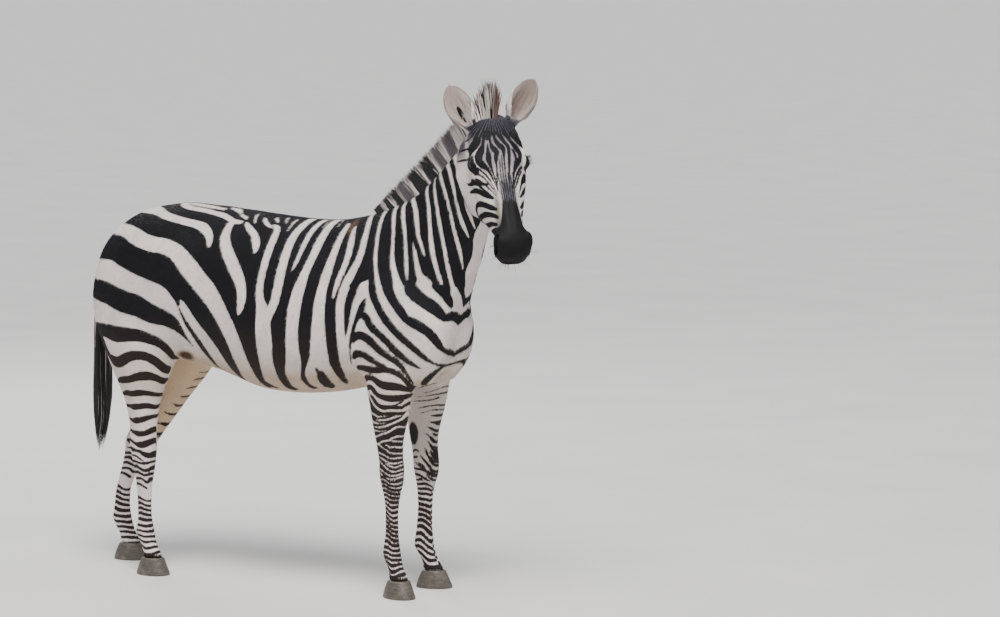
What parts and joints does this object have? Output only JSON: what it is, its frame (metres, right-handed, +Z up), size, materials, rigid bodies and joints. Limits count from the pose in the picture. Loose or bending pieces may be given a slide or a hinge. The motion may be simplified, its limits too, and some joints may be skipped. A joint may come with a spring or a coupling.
{
  "type": "zebra",
  "caption": "Life-size still model of a plains zebra standing with its head turned to the right.",
  "frame": {"origin": "middle of the whole animal's bounding box in plan, on the ground under its hooves", "axes": "+X towards the chest, +Y to the animal's left, +Z up"},
  "size_m": [1.8624, 0.5518, 1.7586],
  "materials": {
    "hide": "short striped fur",
    "long_hair": "stiff upright mane and tail hair",
    "hoof": "satin horn",
    "eye": "wet gloss"
  },
  "bodies": {
    "root": {"head": "hide", "eye_left": "eye", "eye_right": "eye", "neck": "hide", "leg_fore_left": "hide", "hoof_fore_left": "hoof", "leg_fore_right": "hide", "hoof_fore_right": "hoof", "leg_hind_left": "hide", "hoof_hind_left": "hoof", "leg_hind_right": "hide", "hoof_hind_right": "hoof", "trunk": "hide", "ear_left": "hide", "ear_right": "hide", "mane": "long_hair", "tail": "long_hair"}
  },
  "joints": []
}
